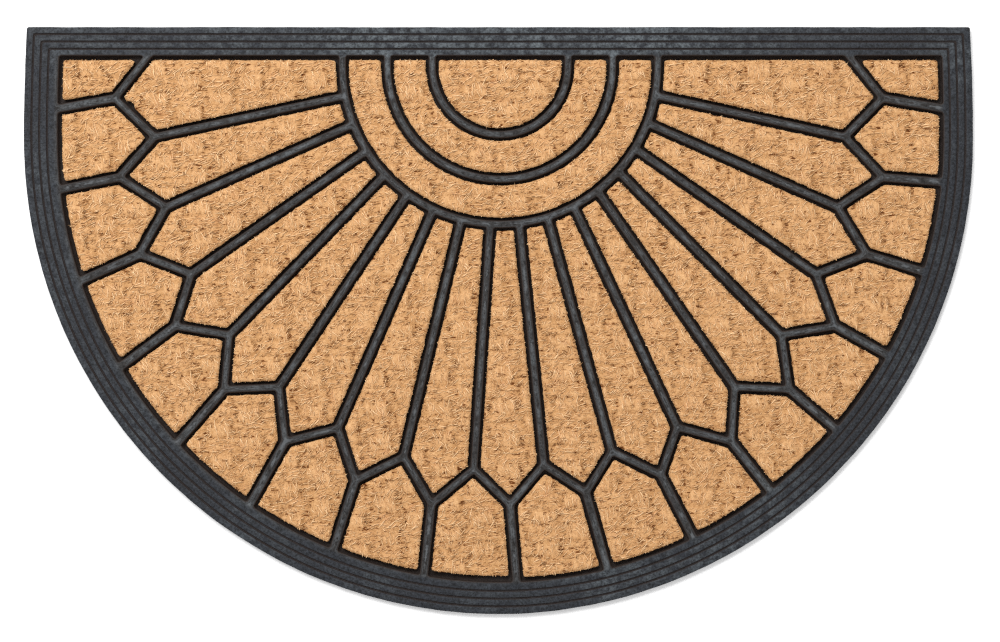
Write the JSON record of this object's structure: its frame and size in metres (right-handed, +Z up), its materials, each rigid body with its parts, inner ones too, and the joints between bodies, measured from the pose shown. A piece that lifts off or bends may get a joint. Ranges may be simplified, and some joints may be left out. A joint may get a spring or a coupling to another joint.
{
  "type": "coir doormat",
  "caption": "Half-round doormat: a black moulded rubber tray with a grooved border and a sunburst of ribs, its pockets filled with panels of woven coir, lying flat at a door.",
  "frame": {"origin": "middle of the mat's outline, on the floor that its underside rests on", "axes": "+X along the straight edge, +Y towards the straight edge, +Z up out of the coir face"},
  "size_m": [0.75, 0.4638, 0.0085],
  "materials": {
    "rubber": "matt black rubber, worn a little lighter on its ribs and border",
    "coir": "woven coir yarn, rough and fibrous, natural golden brown"
  },
  "bodies": {
    "root": {"rubber_tray": "rubber", "coir_half_disc": "coir", "coir_band_inner": "coir", "coir_band_outer": "coir", "coir_ray_01": "coir", "coir_ray_02": "coir", "coir_ray_03": "coir", "coir_ray_04": "coir", "coir_ray_05": "coir", "coir_ray_06": "coir", "coir_ray_07": "coir", "coir_ray_08": "coir", "coir_ray_09": "coir", "coir_ray_10": "coir", "coir_ray_11": "coir", "coir_ray_12": "coir", "coir_ray_13": "coir", "coir_ray_14": "coir", "coir_ray_15": "coir", "coir_ray_16": "coir", "coir_ray_17": "coir", "coir_panel_01": "coir", "coir_panel_02": "coir", "coir_panel_03": "coir", "coir_panel_04": "coir", "coir_panel_05": "coir", "coir_panel_06": "coir", "coir_panel_07": "coir", "coir_panel_08": "coir", "coir_panel_09": "coir", "coir_panel_10": "coir", "coir_panel_11": "coir", "coir_panel_12": "coir", "coir_panel_13": "coir", "coir_panel_14": "coir", "coir_panel_15": "coir", "coir_panel_16": "coir", "coir_panel_17": "coir", "coir_panel_18": "coir"}
  },
  "joints": []
}
